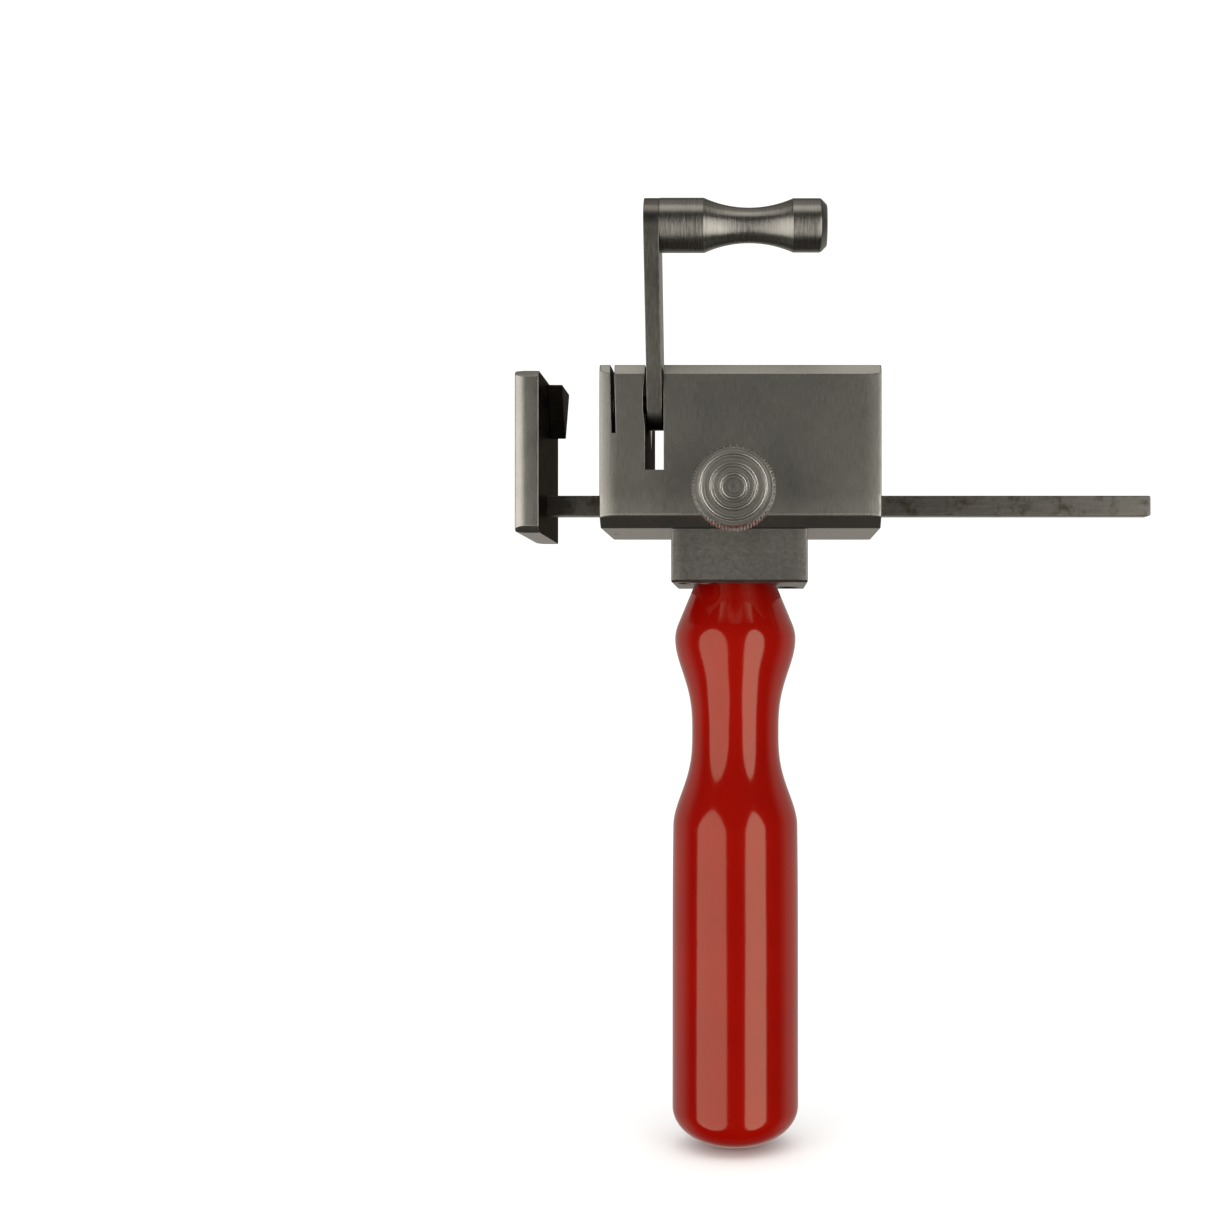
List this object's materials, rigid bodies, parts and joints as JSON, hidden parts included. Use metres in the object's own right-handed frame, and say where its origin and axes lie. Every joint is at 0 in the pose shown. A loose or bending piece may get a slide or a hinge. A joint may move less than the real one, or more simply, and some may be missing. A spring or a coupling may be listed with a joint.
{
  "type": "tube cutting jig",
  "caption": "Hand-held V-block jig that holds small tubing against a sliding length stop while it is sawn, with a swinging hold-down lever and a turned wooden handle.",
  "frame": {"origin": "middle of the handle's straight grip, on the handle's axis", "axes": "+X along the groove from the stop plate to the rod's free end, +Y from the block's front face to its back, +Z from the handle's end up to the groove"},
  "size_m": [0.1154, 0.0421, 0.17],
  "materials": {
    "brushed_steel_block": "satin, fine straight brushing",
    "bright_steel": "ground bright",
    "dark_screw_steel": "blackened satin",
    "screw_steel": "satin threaded",
    "brass_parts": "satin turned",
    "red_lacquered_wood": "thick gloss red lacquer over turned wood",
    "lever_steel": "satin, brushed along its length",
    "turned_steel": "bright turned, fine tool rings",
    "nose_steel": "dull, dark milled",
    "rod_steel": "drawn square bar, slightly stained"
  },
  "bodies": {
    "block": {"v_block": "brushed_steel_block", "lever_pin": "bright_steel", "handle_block": "brushed_steel_block", "block_screw_front": "dark_screw_steel", "block_screw_rear": "dark_screw_steel", "handle_stud": "screw_steel", "handle_bush": "brass_parts", "handle": "red_lacquered_wood"},
    "lever": {"lever_bar": "lever_steel", "lever_spool": "turned_steel", "spool_screw": "screw_steel"},
    "stop": {"stop_plate": "brushed_steel_block", "stop_nose": "nose_steel", "nose_dowel_lower": "bright_steel", "nose_dowel_upper": "bright_steel", "stop_rod": "rod_steel"},
    "pad": {"clamp_pad": "brass_parts"},
    "thumb": {"thumb_screw": "screw_steel", "thumb_knob": "turned_steel"}
  },
  "joints": [
    {"name": "lever_pivot", "type": "hinge", "parent": "block", "child": "lever", "pos_m": [-0.01415, -0.00925, 0.1039], "axis": [1, 0, 0], "range_deg": [-123, 60]},
    {"name": "stop_slide", "type": "slide", "parent": "block", "child": "stop", "axis": [1, 0, 0], "range_m": [-0.065, 0.0104]},
    {"name": "screw_feed", "type": "slide", "parent": "block", "child": "pad", "axis": [0, -1, 0], "range_m": [0, 0.0021]},
    {"name": "screw_turn", "type": "hinge", "parent": "pad", "child": "thumb", "pos_m": [0.0001, -0.02505, 0.0871], "axis": [0, -1, 0], "range_deg": [0, 900]}
  ],
  "couplings": [
    {"joint": "screw_feed", "follows": "screw_turn", "m_per_rad": 0.00012732}
  ]
}
